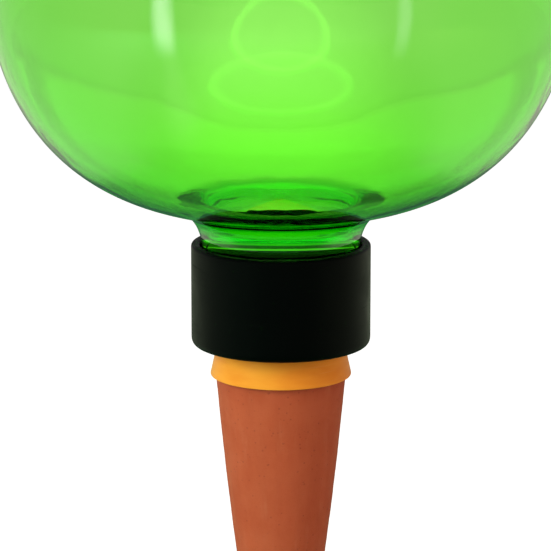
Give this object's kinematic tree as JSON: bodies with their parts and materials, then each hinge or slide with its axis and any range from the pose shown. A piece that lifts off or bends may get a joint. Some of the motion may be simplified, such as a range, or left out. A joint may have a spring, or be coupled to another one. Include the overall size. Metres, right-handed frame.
{
  "type": "watering globe",
  "caption": "Watering globe: a green glass reservoir screws neck down into a black coupling collar over an orange stop ring and a hollow terracotta cone that seeps water into the soil.",
  "frame": {"origin": "on the axis at the soil line, in the plane of the stop ring's flat foot", "axes": "+Z along the axis from the cone's tip towards the top of the globe; the part is round about Z, so X and Y are free"},
  "size_m": [0.138, 0.138, 0.2524],
  "materials": {
    "green_glass": "clear green blown glass, smooth",
    "black_plastic": "black moulded plastic, satin",
    "black_rubber": "black rubber, matt",
    "orange_plastic": "orange moulded plastic, satin",
    "terracotta": "unglazed fired clay, matt and porous"
  },
  "bodies": {
    "cone_body": {"cone": "terracotta", "ring": "orange_plastic", "spigot": "black_plastic", "stem_seal": "black_rubber", "washer": "black_rubber"},
    "collar": {"collar": "black_plastic"},
    "globe": {"globe": "green_glass"}
  },
  "joints": [
    {"name": "collar_turn", "type": "hinge", "parent": "cone_body", "child": "collar", "pos_m": [0, 0, 0.0198], "axis": [0, 0, -1], "range_deg": [0, 1260]},
    {"name": "globe_lift", "type": "slide", "parent": "cone_body", "child": "globe", "axis": [0, 0, 1], "range_m": [0, 0.01575]}
  ],
  "couplings": [
    {"joint": "collar_turn", "follows": "globe_lift", "rad_per_m": 1396.3}
  ]
}
